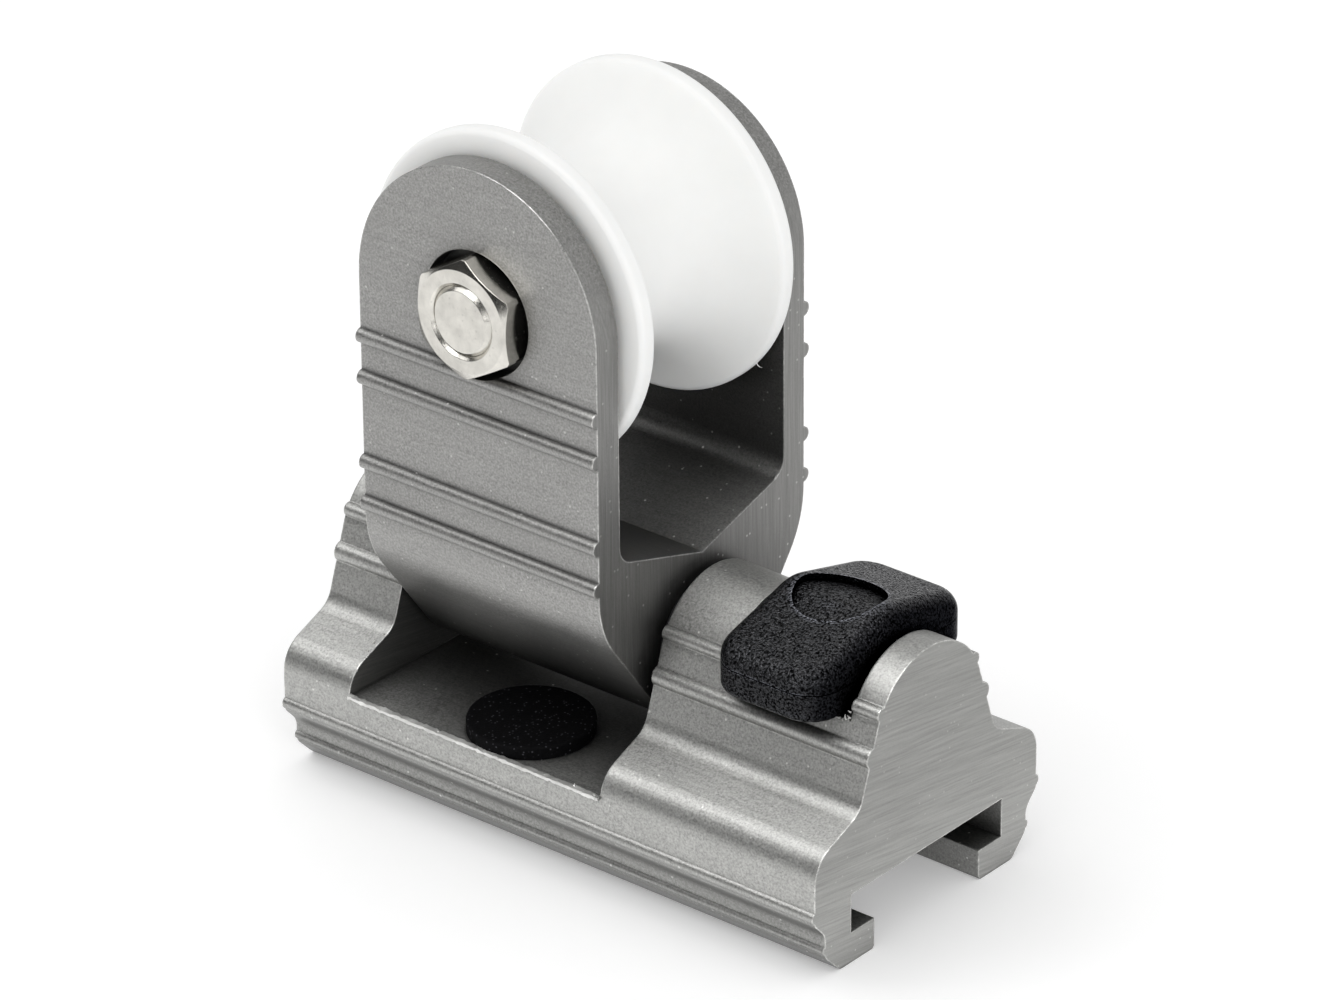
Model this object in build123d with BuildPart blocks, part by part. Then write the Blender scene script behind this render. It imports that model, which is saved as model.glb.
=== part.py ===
from build123d import *
from math import cos, radians, sin, sqrt, tan
import os

os.makedirs("parts", exist_ok=True)

# Genoa car for a 25 mm T-track: a track slider with a tilting sheave bracket and a
# sprung plunger stop. X runs along the track, towards the plunger end. Y runs across
# the track, Z is up, and the origin is on the ground under the middle of the slider.
# All sizes are in millimetres and all angles in degrees.

# Running and seating clearances
running_gap = 0.05
seat_gap = 0.02
thrust_gap = 0.1

# Slide channel for the track
track_width = 25.0
track_side_play = 0.5
lip_gap = 18.1
lip_thickness = 3.65
lip_tip_radius = 0.5
channel_height = 4.65

# Slider body
body_length = 74.6
body_half_width = 19.1
body_web = 3.8
left_post_length = 9.65
pocket_length = 35.7
hill_radius = 9.2
flank_lean = 18.6
flank_foot_radius = 3.0
sweep_slope = 21.8
shoulder_height = 14.5
shoulder_radius = 3.8
undercut_top = 7.1
undercut_height = 5.2
undercut_depth = 1.75
undercut_radius = 2.0
undercut_edge_radius = 0.65
bottom_bevel_height = 2.5
bottom_bevel_width = 2.45
bottom_bevel_radius = 1.2
side_rib_height = 8.0
side_rib_radius = 0.75
side_rib_rise = 0.45
low_rib_height = 3.3
low_rib_radius = 0.55
low_rib_rise = 0.35
hill_rib_rise = 4.35
hill_rib_radius = 0.8
hill_rib_bulge = 0.55
flank_rib_drop = 0.25
flank_rib_radius = 1.2
flank_rib_bulge = 0.65

# Pivot along the track, between the two posts
pivot_diameter = 8.0
pivot_end_wall = 2.4
pivot_end_inset = 0.6
pivot_chamfer = 0.6
bush_wall = 1.5
bush_length = 12.0
bush_flange_lip = 1.9
bush_flange_thickness = 1.3
grub_diameter = 5.0
grub_length = 8.0
grub_socket_flats = 2.5
grub_socket_depth = 3.0
grub_cone_height = 0.8

# Bump-stop pads on the pocket floor
pad_diameter = 14.2
pad_thickness = 1.5
pad_edge_radius = 0.25
pad_offset_across = 12.0
pad_offset_along = 2.2

# Sheave bracket
bracket_half_width = 17.2
cheek_thickness = 3.45
lobe_radius = 9.45
lobe_floor_gap = 1.65
flank_angle = 53.6
flank_blend_radius = 12.0
web_rise = 10.3
web_slope = 17.0
web_corner_radius = 2.4
bracket_rib_radius = 0.85
bracket_rib_drop = 7.4
bracket_rib_pair = 4.95
bracket_rib_band = 10.1

# Sheave, its bolt and nut
sheave_rise = 40.0
sheave_diameter = 37.9
sheave_neck_diameter = 21.2
sheave_rim_width = 2.1
sheave_rim_radius = 0.7
sheave_hub_relief = 0.3
sheave_hub_diameter = 22.0
sleeve_wall = 2.0
washer_thickness = 0.6
washer_diameter = 19.0
bolt_diameter = 8.0
bolt_hole_play = 0.2
bolt_end_proud = 0.1
bolt_chamfer = 0.5
hex_flats = 12.2
hex_corner_diameter = 13.8
hex_face_inset = 0.25
hex_chamfer_angle = 30.0
hex_turn = 30.0
nut_height = 4.7
nut_countersink = 0.35
head_height = 4.8
recess_depth = 2.2
recess_play = 0.3

# Plunger stop
end_slice = 3.55
slot_length = 16.85
slot_drop = 6.4
knob_end_play = 0.9
knob_half_width = 13.3
knob_rise_over_hill = 2.65
knob_slope = 15.0
knob_ridge_radius = 6.0
knob_corner_radius = 4.0
knob_edge_radius = 2.4
knob_base_radius = 1.0
knob_lift_gap = 0.2
parting_rise = 3.4
parting_groove = 0.15
dish_diameter = 10.2
dish_depth = 0.8
nose_diameter = 7.6
shank_diameter = 8.0
nose_above_lips = 0.5
nose_chamfer = 0.8
plunger_guide_length = 4.0
collar_diameter = 10.4
collar_height = 2.0
stem_diameter = 5.0
stem_in_knob = 6.0
spring_bore_diameter = 11.0
spring_mean_diameter = 7.8
spring_wire_diameter = 0.7
spring_turns = 3
guide_height = 3.0

# Levels and stations that follow from the sizes above
channel_half_width = track_width / 2 + track_side_play
ceiling_z = lip_thickness + channel_height
floor_z = ceiling_z + body_web
pivot_z = floor_z + lobe_floor_gap + lobe_radius
hill_top_z = pivot_z + hill_radius
sheave_z = pivot_z + sheave_rise
minus_end_x = -body_length / 2
plus_end_x = body_length / 2
pocket_start_x = minus_end_x + left_post_length
pocket_end_x = pocket_start_x + pocket_length
bracket_x = (pocket_start_x + pocket_end_x) / 2
bracket_length = pocket_length - 2 * (bush_flange_thickness + thrust_gap)
slot_end_x = plus_end_x - end_slice
slot_start_x = slot_end_x - slot_length
plunger_x = (slot_start_x + slot_end_x) / 2
slot_floor_z = hill_top_z - slot_drop
cheek_inner_y = bracket_half_width - cheek_thickness
recess_seat_y = bracket_half_width - recess_depth
recess_diameter = hex_corner_diameter + 2 * recess_play
pivot_hole_diameter = pivot_diameter + 2 * seat_gap
pivot_end_x = slot_start_x - pivot_end_wall
bush_diameter = pivot_diameter + 2 * (running_gap + bush_wall)
lobe_bore_diameter = bush_diameter + 2 * seat_gap
sleeve_diameter = bolt_diameter + 2 * (running_gap + sleeve_wall)
step_z = ceiling_z + plunger_guide_length
collar_top_z = step_z + collar_height
guide_z = slot_floor_z - guide_height

across_view = Plane.YZ
side_view = Plane.XZ
pivot_axis = Axis((0, 0, pivot_z), (1, 0, 0))
sheave_axis = Axis((bracket_x, 0, sheave_z), (0, 1, 0))
plunger_axis = Axis((plunger_x, 0, 0), (0, 0, 1))
sheave_section = Plane(origin=(bracket_x, 0, sheave_z), x_dir=(0, 1, 0), z_dir=(1, 0, 0))
pivot_section = Plane(origin=(0, 0, pivot_z), x_dir=(1, 0, 0), z_dir=(0, -1, 0))
plunger_section = Plane(origin=(plunger_x, 0, 0), x_dir=(1, 0, 0), z_dir=(0, -1, 0))


def across_plane(y):
    """Plane square to Y on the sheave's axis, facing +Y, with Z up."""
    return Plane(origin=(bracket_x, y, sheave_z), x_dir=(-1, 0, 0), z_dir=(0, 1, 0))


# Slider body: one extrusion along X, milled for the pocket and for the knob's slot
lean = radians(flank_lean)
fall = radians(sweep_slope)
flank_start = (hill_radius * cos(lean), pivot_z + hill_radius * sin(lean))
sweep_zero_z = shoulder_height + body_half_width * tan(fall)
foot_y = flank_start[0] + (flank_start[1] - sweep_zero_z) * tan(lean)
foot_y = foot_y / (1 - tan(fall) * tan(lean))
foot_z = sweep_zero_z - foot_y * tan(fall)
hill_rib_y = sqrt(hill_radius**2 - hill_rib_rise**2) - hill_rib_radius + hill_rib_bulge
flank_rib_z = pivot_z - flank_rib_drop
flank_rib_y = flank_start[0] + (flank_start[1] - flank_rib_z) * tan(lean)
flank_rib_y = flank_rib_y - flank_rib_radius + flank_rib_bulge
waist_y = body_half_width - undercut_depth

with BuildPart() as slider_body:
    with BuildSketch(across_view):
        with BuildLine():
            CenterArc((0, pivot_z), hill_radius, flank_lean, 90 - flank_lean)
            FilletPolyline(
                flank_start,
                (foot_y, foot_z),
                (body_half_width, shoulder_height),
                (body_half_width, undercut_top),
                (waist_y, undercut_height),
                (waist_y, bottom_bevel_height),
                (waist_y - bottom_bevel_width, 0),
                (lip_gap / 2, 0),
                radius=[
                    flank_foot_radius,
                    shoulder_radius,
                    undercut_edge_radius,
                    undercut_radius,
                    bottom_bevel_radius,
                    bottom_bevel_radius,
                ],
            )
            Polyline(
                (lip_gap / 2, 0),
                (lip_gap / 2, lip_thickness),
                (channel_half_width, lip_thickness),
                (channel_half_width, ceiling_z),
                (0, ceiling_z),
                (0, hill_top_z),
            )
        make_face()
        with Locations((hill_rib_y, pivot_z + hill_rib_rise)):
            Circle(hill_rib_radius)
        with Locations((flank_rib_y, flank_rib_z)):
            Circle(flank_rib_radius)
        with Locations((body_half_width - side_rib_radius + side_rib_rise, side_rib_height)):
            Circle(side_rib_radius)
        with Locations((waist_y - low_rib_radius + low_rib_rise, low_rib_height)):
            Circle(low_rib_radius)
        mirror(about=Plane.YZ)
    extrude(amount=body_length / 2, both=True)
    ground_edges = slider_body.edges().filter_by(Axis.X).group_by(Axis.Z)[0]
    lip_tips = ground_edges.filter_by(
        lambda edge: abs(edge.center().Y) < lip_gap / 2 + lip_tip_radius
    )
    fillet(lip_tips, radius=lip_tip_radius)
    with BuildSketch(side_view):
        with Locations((bracket_x, floor_z)):
            Rectangle(pocket_length, hill_top_z, align=(Align.CENTER, Align.MIN))
        with Locations((plunger_x, slot_floor_z)):
            Rectangle(slot_length, hill_top_z, align=(Align.CENTER, Align.MIN))
    extrude(amount=body_length, both=True, mode=Mode.SUBTRACT)
    with BuildSketch(Plane.YZ.offset(minus_end_x)):
        with Locations((0, pivot_z)):
            Circle(pivot_hole_diameter / 2)
    extrude(amount=pivot_end_x + seat_gap - minus_end_x, mode=Mode.SUBTRACT)
    with BuildSketch(Plane.XY.offset(ceiling_z)):
        with Locations((plunger_x, 0)):
            Circle(shank_diameter / 2 + running_gap)
    extrude(amount=body_web + plunger_guide_length, mode=Mode.SUBTRACT)
    with BuildSketch(Plane.XY.offset(step_z)):
        with Locations((plunger_x, 0)):
            Circle(spring_bore_diameter / 2)
    extrude(amount=hill_top_z - step_z, mode=Mode.SUBTRACT)
    grub_x = minus_end_x + left_post_length / 2
    with BuildSketch(Plane.XY.offset(ceiling_z)):
        with Locations((grub_x, 0)):
            Circle(grub_diameter / 2 + seat_gap)
    extrude(amount=pivot_z - ceiling_z, mode=Mode.SUBTRACT)
slider_body.part.label = "slider_body"
export_step(slider_body.part, "parts/slider_body.step")

# Pivot pin: slid in from the minus end, blind in the block at the plus end
pivot_start_x = minus_end_x + pivot_end_inset
with BuildPart() as pivot_pin:
    with BuildSketch(Plane.YZ.offset(pivot_start_x)):
        with Locations((0, pivot_z)):
            Circle(pivot_diameter / 2)
    extrude(amount=pivot_end_x - pivot_start_x)
    chamfer(pivot_pin.edges(), length=pivot_chamfer)
pivot_pin.part.label = "pivot_pin"
export_step(pivot_pin.part, "parts/pivot_pin.step")

# Grub screw: locks the pin from inside the slide channel
grub_top_z = pivot_z - pivot_diameter / 2 - seat_gap
with BuildPart() as pivot_grub_screw:
    with BuildSketch(Plane.XY.offset(grub_top_z - grub_length)):
        with Locations((grub_x, 0)):
            Circle(grub_diameter / 2)
    extrude(amount=grub_length)
    chamfer(pivot_grub_screw.faces().sort_by(Axis.Z)[-1].edges(), length=grub_cone_height)
    with BuildSketch(Plane.XY.offset(grub_top_z - grub_length)):
        with Locations((grub_x, 0)):
            RegularPolygon(grub_socket_flats / 2, 6, major_radius=False)
    extrude(amount=grub_socket_depth, mode=Mode.SUBTRACT)
pivot_grub_screw.part.label = "pivot_grub_screw"
export_step(pivot_grub_screw.part, "parts/pivot_grub_screw.step")

# Flanged pivot bushes: pressed into the two ends of the bracket's lobe
bush_bore_radius = pivot_diameter / 2 + running_gap
bush_flange_radius = bush_diameter / 2 + bush_flange_lip
for bush_name, end_side in (("pivot_bush_minus", -1), ("pivot_bush_plus", 1)):
    seat_x = bracket_x + end_side * bracket_length / 2
    with BuildPart() as pivot_bush:
        with BuildSketch(pivot_section):
            with BuildLine():
                Polyline(
                    (seat_x - end_side * bush_length, bush_bore_radius),
                    (seat_x + end_side * bush_flange_thickness, bush_bore_radius),
                    (seat_x + end_side * bush_flange_thickness, bush_flange_radius),
                    (seat_x, bush_flange_radius),
                    (seat_x, bush_diameter / 2),
                    (seat_x - end_side * bush_length, bush_diameter / 2),
                    close=True,
                )
            make_face()
        revolve(axis=pivot_axis)
    pivot_bush.part.label = bush_name
    export_step(pivot_bush.part, f"parts/{bush_name}.step")

# Rubber pads: the bracket's flank comes down flat on one at full tilt
for pad_name, pad_side in (("rubber_pad_near", -1), ("rubber_pad_far", 1)):
    with BuildPart() as rubber_pad:
        with BuildSketch(Plane.XY.offset(floor_z)):
            with Locations((bracket_x + pad_offset_along, pad_side * pad_offset_across)):
                Circle(pad_diameter / 2)
        extrude(amount=pad_thickness)
        fillet(rubber_pad.faces().sort_by(Axis.Z)[-1].edges(), radius=pad_edge_radius)
    rubber_pad.part.label = pad_name
    export_step(rubber_pad.part, f"parts/{pad_name}.step")

# Sheave bracket: one extrusion along X, with two round-topped cheeks over a round lobe
slope = radians(flank_angle)
lobe_tangent = (lobe_radius * sin(slope), pivot_z - lobe_radius * cos(slope))
blend_turn = radians(90 - flank_angle)
blend_drop = flank_blend_radius * sin(blend_turn)
blend_inset = flank_blend_radius * (1 - cos(blend_turn))
blend_end_y = bracket_half_width - blend_inset
blend_end_z = lobe_tangent[1] + (blend_end_y - lobe_tangent[0]) * tan(slope)
blend_start_z = blend_end_z + blend_drop
blend_middle = (
    bracket_half_width - flank_blend_radius * (1 - cos(blend_turn / 2)),
    blend_start_z - flank_blend_radius * sin(blend_turn / 2),
)
web_z = pivot_z + web_rise
web_wall_z = web_z + cheek_inner_y * tan(radians(web_slope))
cheek_radius = bracket_length / 2
cheek_top_z = sheave_z + cheek_radius
rib_1_z = sheave_z - bracket_rib_drop
rib_2_z = rib_1_z - bracket_rib_pair
rib_3_z = rib_2_z - bracket_rib_band
rib_4_z = rib_3_z - bracket_rib_pair

with BuildPart() as sheave_bracket:
    with BuildSketch(Plane.YZ.offset(bracket_x)):
        with BuildLine():
            CenterArc((0, pivot_z), lobe_radius, -90, flank_angle)
            Line(lobe_tangent, (blend_end_y, blend_end_z))
            ThreePointArc(
                (blend_end_y, blend_end_z), blend_middle, (bracket_half_width, blend_start_z)
            )
            Polyline(
                (bracket_half_width, blend_start_z),
                (bracket_half_width, cheek_top_z),
                (cheek_inner_y, cheek_top_z),
            )
            FilletPolyline(
                (cheek_inner_y, cheek_top_z),
                (cheek_inner_y, web_wall_z),
                (0, web_z),
                radius=web_corner_radius,
            )
            Line((0, web_z), (0, pivot_z - lobe_radius))
        make_face()
        for rib_z in (rib_1_z, rib_2_z, rib_3_z, rib_4_z):
            with Locations((bracket_half_width, rib_z)):
                Circle(bracket_rib_radius)
        mirror(about=Plane.YZ)
    extrude(amount=bracket_length / 2, both=True)
    with BuildSketch(side_view):
        with Locations((bracket_x, sheave_z)):
            Circle(cheek_radius)
            Rectangle(bracket_length, 2 * sheave_z, align=(Align.CENTER, Align.MAX))
    extrude(amount=2 * bracket_half_width, both=True, mode=Mode.INTERSECT)
    with BuildSketch(side_view):
        with Locations((bracket_x, sheave_z)):
            Circle(bolt_diameter / 2 + bolt_hole_play)
    extrude(amount=2 * bracket_half_width, both=True, mode=Mode.SUBTRACT)
    for recess_side in (-1, 1):
        with BuildSketch(across_plane(recess_side * recess_seat_y)):
            Circle(recess_diameter / 2)
        extrude(amount=recess_side * 2 * recess_depth, mode=Mode.SUBTRACT)
    with BuildSketch(Plane.YZ.offset(bracket_x)):
        with Locations((0, pivot_z)):
            Circle(lobe_bore_diameter / 2)
    extrude(amount=bracket_length, both=True, mode=Mode.SUBTRACT)
sheave_bracket.part.label = "sheave_bracket"
export_step(sheave_bracket.part, "parts/sheave_bracket.step")

# Sheave: turned with a wide round groove, and a hub that stands a little proud
sheave_radius = sheave_diameter / 2
neck_radius = sheave_neck_diameter / 2
hub_y = cheek_inner_y - running_gap - washer_thickness - thrust_gap
flange_y = hub_y - sheave_hub_relief
rim_y = flange_y - sheave_rim_width
bore_radius = sleeve_diameter / 2 + running_gap
with BuildPart() as sheave:
    with BuildSketch(sheave_section):
        with BuildLine():
            ThreePointArc((-rim_y, sheave_radius), (0, neck_radius), (rim_y, sheave_radius))
            Polyline(
                (rim_y, sheave_radius),
                (flange_y, sheave_radius),
                (flange_y, sheave_hub_diameter / 2),
                (hub_y, sheave_hub_diameter / 2),
                (hub_y, bore_radius),
                (-hub_y, bore_radius),
                (-hub_y, sheave_hub_diameter / 2),
                (-flange_y, sheave_hub_diameter / 2),
                (-flange_y, sheave_radius),
                (-rim_y, sheave_radius),
            )
        make_face()
    revolve(axis=sheave_axis)
    rim_edges = sheave.edges().filter_by(GeomType.CIRCLE).group_by(lambda edge: edge.radius)[-1]
    fillet(rim_edges, radius=sheave_rim_radius)
sheave.part.label = "sheave"
export_step(sheave.part, "parts/sheave.step")

# Sleeve: clamped between the cheeks, so that the sheave runs free on it
with BuildPart() as sheave_sleeve:
    with BuildSketch(across_plane(-cheek_inner_y)):
        Circle(sleeve_diameter / 2)
        Circle(bolt_diameter / 2 + running_gap, mode=Mode.SUBTRACT)
    extrude(amount=2 * cheek_inner_y)
sheave_sleeve.part.label = "sheave_sleeve"
export_step(sheave_sleeve.part, "parts/sheave_sleeve.step")

# Thrust washers: one each side of the sheave, on the sleeve
for washer_name, washer_side in (("sheave_washer_near", -1), ("sheave_washer_far", 1)):
    washer_y = washer_side * (cheek_inner_y - running_gap)
    with BuildPart() as sheave_washer:
        with BuildSketch(across_plane(washer_y)):
            Circle(washer_diameter / 2)
            Circle(sleeve_diameter / 2 + running_gap, mode=Mode.SUBTRACT)
        extrude(amount=-washer_side * washer_thickness)
    sheave_washer.part.label = washer_name
    export_step(sheave_washer.part, f"parts/{washer_name}.step")

# Sheave bolt: hex head in the far recess, end just through the nut on the near side
bolt_end_y = -(recess_seat_y + nut_height + bolt_end_proud)
head_end_y = recess_seat_y + head_height
hex_radius = hex_corner_diameter / 2
hex_face_radius = hex_flats / 2 - hex_face_inset
hex_chamfer_depth = (hex_radius - hex_face_radius) * tan(radians(hex_chamfer_angle))
with BuildPart() as sheave_bolt:
    with BuildSketch(across_plane(recess_seat_y)):
        RegularPolygon(hex_flats / 2, 6, major_radius=False, rotation=hex_turn)
    extrude(amount=head_height)
    with BuildSketch(sheave_section):
        with BuildLine():
            Polyline(
                (recess_seat_y, 0),
                (recess_seat_y, hex_radius),
                (head_end_y - hex_chamfer_depth, hex_radius),
                (head_end_y, hex_face_radius),
                (head_end_y, 0),
                close=True,
            )
        make_face()
    revolve(axis=sheave_axis, mode=Mode.INTERSECT)
    with BuildSketch(across_plane(bolt_end_y)):
        Circle(bolt_diameter / 2)
    extrude(amount=recess_seat_y - bolt_end_y)
    chamfer(sheave_bolt.faces().sort_by(Axis.Y)[0].edges(), length=bolt_chamfer)
sheave_bolt.part.label = "sheave_bolt"
export_step(sheave_bolt.part, "parts/sheave_bolt.step")

# Sheave nut: hexagon with a chamfered outer face and a countersunk bore
nut_end_y = -(recess_seat_y + nut_height)
nut_bore_radius = bolt_diameter / 2 + seat_gap
with BuildPart() as sheave_nut:
    with BuildSketch(across_plane(nut_end_y)):
        RegularPolygon(hex_flats / 2, 6, major_radius=False, rotation=hex_turn)
    extrude(amount=nut_height)
    with BuildSketch(sheave_section):
        with BuildLine():
            Polyline(
                (-recess_seat_y, nut_bore_radius),
                (-recess_seat_y, hex_radius),
                (nut_end_y + hex_chamfer_depth, hex_radius),
                (nut_end_y, hex_face_radius),
                (nut_end_y, nut_bore_radius + nut_countersink),
                (nut_end_y + nut_countersink, nut_bore_radius),
                close=True,
            )
        make_face()
    revolve(axis=sheave_axis, mode=Mode.INTERSECT)
sheave_nut.part.label = "sheave_nut"
export_step(sheave_nut.part, "parts/sheave_nut.step")

# Plunger pin: nose, collar and stem turned in one, standing on the step of its bore
nose_tip_z = lip_thickness + nose_above_lips
knob_base_z = slot_floor_z + knob_lift_gap
stem_top_z = knob_base_z + stem_in_knob
with BuildPart() as plunger_pin:
    with BuildSketch(plunger_section):
        with BuildLine():
            Polyline(
                (0, nose_tip_z),
                (nose_diameter / 2 - nose_chamfer, nose_tip_z),
                (nose_diameter / 2, nose_tip_z + nose_chamfer),
                (nose_diameter / 2, ceiling_z),
                (shank_diameter / 2, ceiling_z),
                (shank_diameter / 2, step_z),
                (collar_diameter / 2, step_z),
                (collar_diameter / 2, collar_top_z),
                (stem_diameter / 2, collar_top_z),
                (stem_diameter / 2, stem_top_z),
                (0, stem_top_z),
                close=True,
            )
        make_face()
    revolve(axis=plunger_axis)
plunger_pin.part.label = "plunger_pin"
export_step(plunger_pin.part, "parts/plunger_pin.step")

# Plunger guide: closes the spring's bore, flush with the slot's floor
with BuildPart() as plunger_guide:
    with BuildSketch(Plane.XY.offset(guide_z)):
        with Locations((plunger_x, 0)):
            Circle(spring_bore_diameter / 2 - seat_gap)
            Circle(stem_diameter / 2 + running_gap, mode=Mode.SUBTRACT)
    extrude(amount=guide_height)
plunger_guide.part.label = "plunger_guide"
export_step(plunger_guide.part, "parts/plunger_guide.step")

# Plunger spring: round wire between the pin's collar and the guide
coil_start_z = collar_top_z + spring_wire_diameter / 2 + seat_gap
coil_height = guide_z - collar_top_z - spring_wire_diameter - 2 * seat_gap
with BuildPart() as plunger_spring:
    with BuildLine():
        coil = Helix(
            pitch=coil_height / spring_turns,
            height=coil_height,
            radius=spring_mean_diameter / 2,
            center=(plunger_x, 0, coil_start_z),
        )
    with BuildSketch(Plane(origin=coil @ 0, z_dir=coil % 0)):
        Circle(spring_wire_diameter / 2)
    sweep(path=coil, is_frenet=True)
plunger_spring.part.label = "plunger_spring"
export_step(plunger_spring.part, "parts/plunger_spring.step")

# Plunger knob: a roof-topped block across the slot, its ends wide of the hill as finger grips,
# moulded in two halves that meet in a fine groove
knob_length = slot_length - 2 * knob_end_play
knob_top_z = hill_top_z + knob_rise_over_hill
knob_slope_rise = tan(radians(knob_slope))
knob_apex_rise = knob_ridge_radius * (1 / cos(radians(knob_slope)) - 1)


def roof_outline(ridge_z, reach, base_z):
    """Closed outline across the track: a flat base under a two-sided roof, rounded at its ridge."""
    apex_z = ridge_z + knob_apex_rise
    eaves_z = apex_z - reach * knob_slope_rise
    FilletPolyline((-reach, eaves_z), (0, apex_z), (reach, eaves_z), radius=knob_ridge_radius)
    Polyline((reach, eaves_z), (reach, base_z), (-reach, base_z), (-reach, eaves_z))


def is_roof_edge(edge):
    """True for the rim of the roof: not a corner's upright edge, nor a line along the roof."""
    middle = edge.center()
    upright = abs((edge @ 1).Z - (edge @ 0).Z) > knob_half_width * knob_slope_rise + knob_apex_rise
    inner = abs(middle.Y) < knob_half_width / 2 and abs((edge @ 1).X - (edge @ 0).X) > knob_edge_radius
    return middle.Z > slot_floor_z + knob_rise_over_hill and not upright and not inner


with BuildPart() as finger_dish:
    with BuildSketch(Plane.XY.offset(knob_base_z)):
        with Locations((plunger_x, 0)):
            Circle(dish_diameter / 2)
    extrude(amount=2 * (knob_top_z - knob_base_z))
    with BuildSketch(across_view):
        with BuildLine():
            roof_outline(knob_top_z - dish_depth, 2 * dish_diameter, 0)
        make_face()
    extrude(amount=plus_end_x, both=True, mode=Mode.SUBTRACT)

with BuildPart() as plunger_knob:
    with BuildSketch(Plane.XY.offset(knob_base_z)):
        with Locations((plunger_x, 0)):
            RectangleRounded(knob_length, 2 * knob_half_width, knob_corner_radius)
    extrude(amount=2 * (knob_top_z - knob_base_z))
    with BuildSketch(across_view):
        with BuildLine():
            roof_outline(knob_top_z, 2 * knob_half_width, 0)
        make_face()
    extrude(amount=plus_end_x, both=True, mode=Mode.INTERSECT)
    roof_edges = plunger_knob.edges().filter_by(is_roof_edge)
    fillet(roof_edges, radius=knob_edge_radius)
    fillet(plunger_knob.faces().sort_by(Axis.Z)[0].edges(), radius=knob_base_radius)
    add(finger_dish.part, mode=Mode.SUBTRACT)
    with BuildSketch(Plane.XY.offset(knob_base_z + parting_rise)):
        with Locations((plunger_x, 0)):
            RectangleRounded(knob_length, 2 * knob_half_width, knob_corner_radius)
            RectangleRounded(
                knob_length - 2 * parting_groove,
                2 * (knob_half_width - parting_groove),
                knob_corner_radius - parting_groove,
                mode=Mode.SUBTRACT,
            )
    extrude(amount=parting_groove, mode=Mode.SUBTRACT)
    with BuildSketch(Plane.XY.offset(knob_base_z)):
        with Locations((plunger_x, 0)):
            Circle(stem_diameter / 2 + seat_gap)
    extrude(amount=stem_in_knob + seat_gap, mode=Mode.SUBTRACT)
plunger_knob.part.label = "plunger_knob"
export_step(plunger_knob.part, "parts/plunger_knob.step")
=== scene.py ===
import math

import bpy
from bpy.props import FloatProperty, FloatVectorProperty, IntProperty, PointerProperty
from bpy.types import NodeSocket, Operator, Panel, PropertyGroup
from mathutils import Matrix, Vector


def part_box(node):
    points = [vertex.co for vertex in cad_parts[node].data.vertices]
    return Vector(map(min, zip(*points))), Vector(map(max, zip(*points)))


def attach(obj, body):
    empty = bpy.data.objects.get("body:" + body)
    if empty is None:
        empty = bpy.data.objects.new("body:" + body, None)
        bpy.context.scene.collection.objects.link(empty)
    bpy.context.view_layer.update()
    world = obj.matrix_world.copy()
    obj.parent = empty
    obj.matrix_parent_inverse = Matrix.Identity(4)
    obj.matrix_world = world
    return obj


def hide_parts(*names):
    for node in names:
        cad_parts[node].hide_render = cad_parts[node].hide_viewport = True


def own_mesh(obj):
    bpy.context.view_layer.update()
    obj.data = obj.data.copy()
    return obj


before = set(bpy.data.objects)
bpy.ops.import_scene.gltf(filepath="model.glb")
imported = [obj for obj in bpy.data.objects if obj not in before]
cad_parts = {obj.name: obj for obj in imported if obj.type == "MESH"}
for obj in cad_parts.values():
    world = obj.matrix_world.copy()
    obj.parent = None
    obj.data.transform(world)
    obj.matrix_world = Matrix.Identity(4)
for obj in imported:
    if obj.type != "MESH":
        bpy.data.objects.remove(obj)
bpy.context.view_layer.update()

bl_info = {
    "name": "Genoa Car",
    "version": (1, 0, 0),
    "blender": (4, 5, 0),
    "location": "View3D > Sidebar > Genoa Car",
    "description": "Finishes, small parts and studio for a genoa car with a plunger stop",
    "category": "Object",
}

MM = 0.001


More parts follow.
